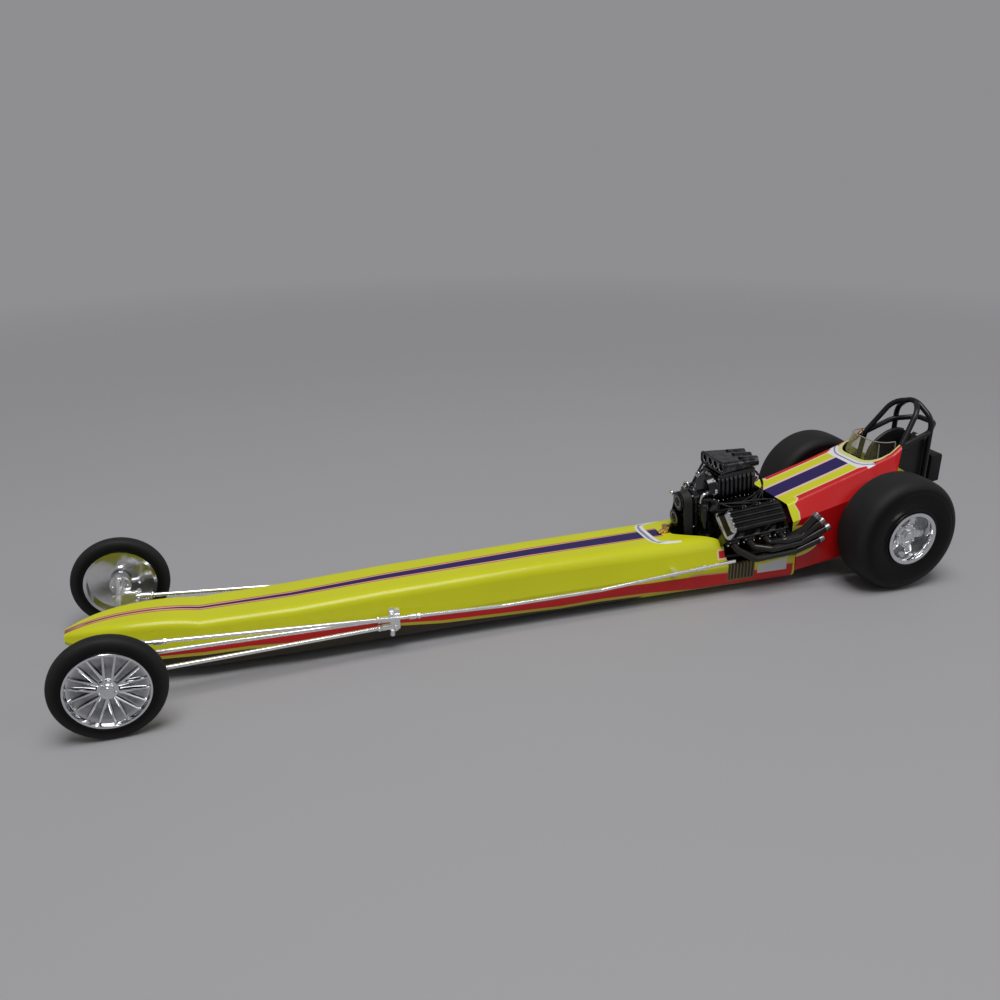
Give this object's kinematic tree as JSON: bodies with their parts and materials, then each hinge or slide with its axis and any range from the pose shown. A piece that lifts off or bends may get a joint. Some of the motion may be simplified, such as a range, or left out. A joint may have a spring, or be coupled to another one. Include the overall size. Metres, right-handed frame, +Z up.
{
  "type": "drag racing car scale model kit",
  "caption": "Static 1:25 scale kit of a long front-engined drag racing car: slim body shell, supercharged V8 with open headers, roll cage and free-turning wheels.",
  "frame": {"origin": "ground point under the centre of the overall box, between the axles", "axes": "+X forward to the nose, +Y to the driver's left, +Z up"},
  "size_m": [0.2534, 0.0586, 0.049],
  "materials": {
    "yellow_paint": "gloss yellow with red, purple and white stripes",
    "black_frame": "gloss black",
    "black_chrome": "dark plated plastic",
    "dark_steel": "dull dark plating",
    "chrome": "bright plated plastic",
    "belt_rubber": "matt",
    "black_trim": "satin black",
    "tinted_screen": "clear yellow-green tint",
    "tyre_rubber": "matt vinyl"
  },
  "bodies": {
    "chassis": {"bellhousing": "black_chrome", "blower": "black_chrome", "blower_drive": "black_chrome", "blower_manifold": "black_chrome", "butterflies": "chrome", "chassis_rails": "black_frame", "cockpit_cowl": "yellow_paint", "cylinder_head_left": "black_chrome", "cylinder_head_right": "black_chrome", "dash_panel": "black_trim", "drag_link": "chrome", "drive_belt": "belt_rubber", "driver_seat": "black_trim", "engine_block": "black_chrome", "front_axle": "chrome", "headers_left": "dark_steel", "headers_right": "dark_steel", "injector_scoop": "black_chrome", "magneto": "black_chrome", "mid_body": "yellow_paint", "nose_body": "yellow_paint", "oil_pan": "black_chrome", "parachute_pack": "black_trim", "radius_rods_left": "chrome", "radius_rods_right": "chrome", "rear_axle": "black_frame", "roll_cage": "black_frame", "steering_linkage": "chrome", "steering_yoke": "black_trim", "tail_fairing": "yellow_paint", "valve_cover_left": "black_chrome", "valve_cover_right": "black_chrome", "windscreen": "tinted_screen"},
    "front_left_wheel": {"tyre_front_left": "tyre_rubber", "rim_front_left": "chrome"},
    "front_right_wheel": {"tyre_front_right": "tyre_rubber", "rim_front_right": "chrome"},
    "rear_left_wheel": {"tyre_rear_left": "tyre_rubber", "rim_rear_left": "chrome"},
    "rear_right_wheel": {"tyre_rear_right": "tyre_rubber", "rim_rear_right": "chrome"}
  },
  "joints": [
    {"name": "front_left_spin", "type": "hinge", "parent": "chassis", "child": "front_left_wheel", "pos_m": [0.11407, 0.027, 0.01265], "axis": [0, 1, 0], "continuous": true},
    {"name": "front_right_spin", "type": "hinge", "parent": "chassis", "child": "front_right_wheel", "pos_m": [0.11407, -0.027, 0.01265], "axis": [0, 1, 0], "continuous": true},
    {"name": "rear_left_spin", "type": "hinge", "parent": "chassis", "child": "rear_left_wheel", "pos_m": [-0.09892, 0.0208, 0.0168], "axis": [0, 1, 0], "continuous": true},
    {"name": "rear_right_spin", "type": "hinge", "parent": "chassis", "child": "rear_right_wheel", "pos_m": [-0.09892, -0.0208, 0.0168], "axis": [0, 1, 0], "continuous": true}
  ]
}
